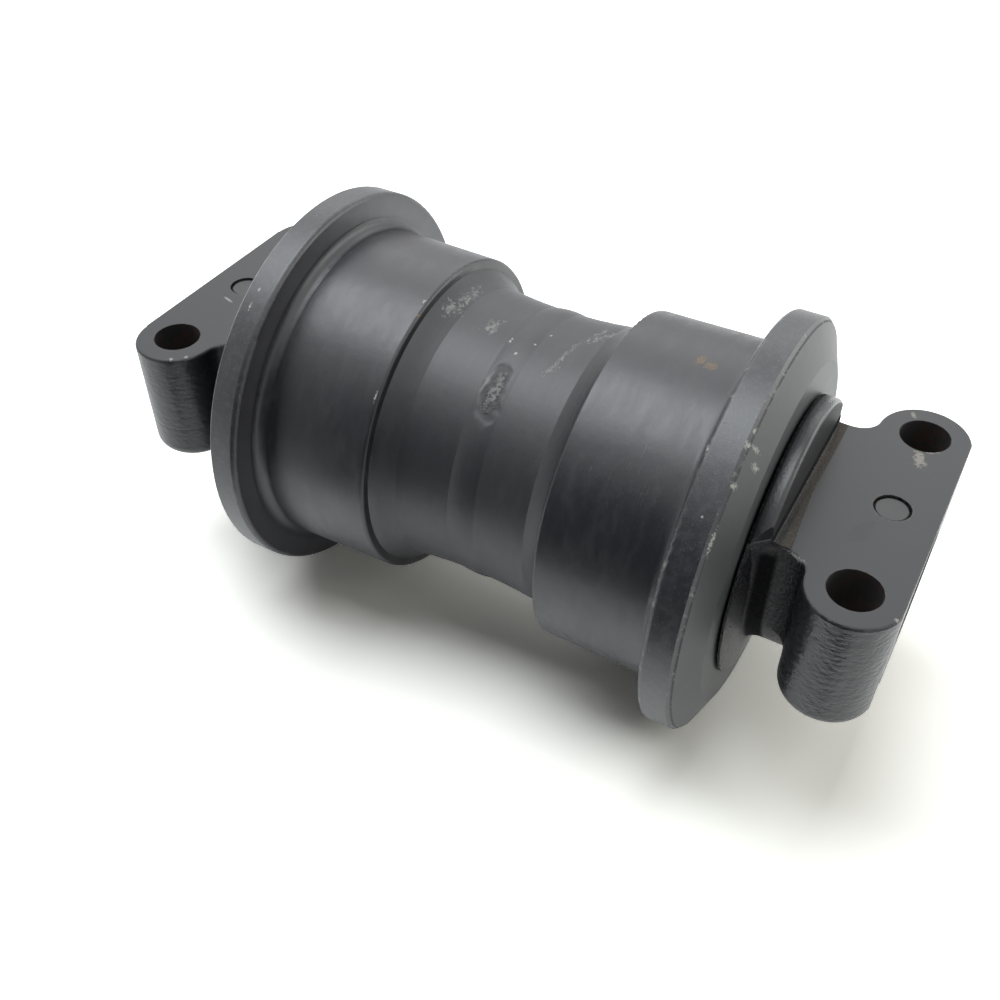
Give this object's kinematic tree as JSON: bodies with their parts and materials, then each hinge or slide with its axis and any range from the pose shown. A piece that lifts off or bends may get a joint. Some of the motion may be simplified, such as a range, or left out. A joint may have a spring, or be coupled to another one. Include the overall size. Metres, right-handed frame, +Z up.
{
  "type": "track roller",
  "caption": "Double-flange track roller: a forged shell with a waist turns on a fixed sealed shaft between cast end collars that bolt up to a track frame.",
  "frame": {"origin": "on the spin axis, midway between the two collars' outer ends", "axes": "+Y along the spin axis, +Z up to the bolted mount faces, +X along the direction of travel"},
  "size_m": [0.15, 0.289, 0.15],
  "materials": {
    "shell_paint": "satin black paint over forged steel",
    "collar_paint": "satin black paint over cast steel",
    "shaft_steel": "ground steel",
    "bush_bronze": "machined bronze",
    "seal_iron": "lapped hard iron",
    "seal_rubber": "matt black rubber",
    "pin_steel": "dark oiled steel",
    "plug_steel": "zinc-plated steel",
    "washer_copper": "annealed copper"
  },
  "bodies": {
    "carrier": {"shaft": "shaft_steel", "collar_left": "collar_paint", "collar_right": "collar_paint", "lock_pin_left": "pin_steel", "lock_pin_right": "pin_steel", "shaft_o_ring_left": "seal_rubber", "shaft_o_ring_right": "seal_rubber", "static_seal_ring_left": "seal_iron", "static_seal_ring_right": "seal_iron", "static_toric_left": "seal_rubber", "static_toric_right": "seal_rubber", "oil_plug": "plug_steel", "plug_washer": "washer_copper"},
    "roller": {"roller_shell": "shell_paint", "bush_left": "bush_bronze", "bush_right": "bush_bronze", "rotating_seal_ring_left": "seal_iron", "rotating_seal_ring_right": "seal_iron", "rotating_toric_left": "seal_rubber", "rotating_toric_right": "seal_rubber"}
  },
  "joints": [
    {"name": "roller_spin", "type": "hinge", "parent": "carrier", "child": "roller", "pos_m": [0, 0, 0], "axis": [0, 1, 0], "continuous": true}
  ]
}
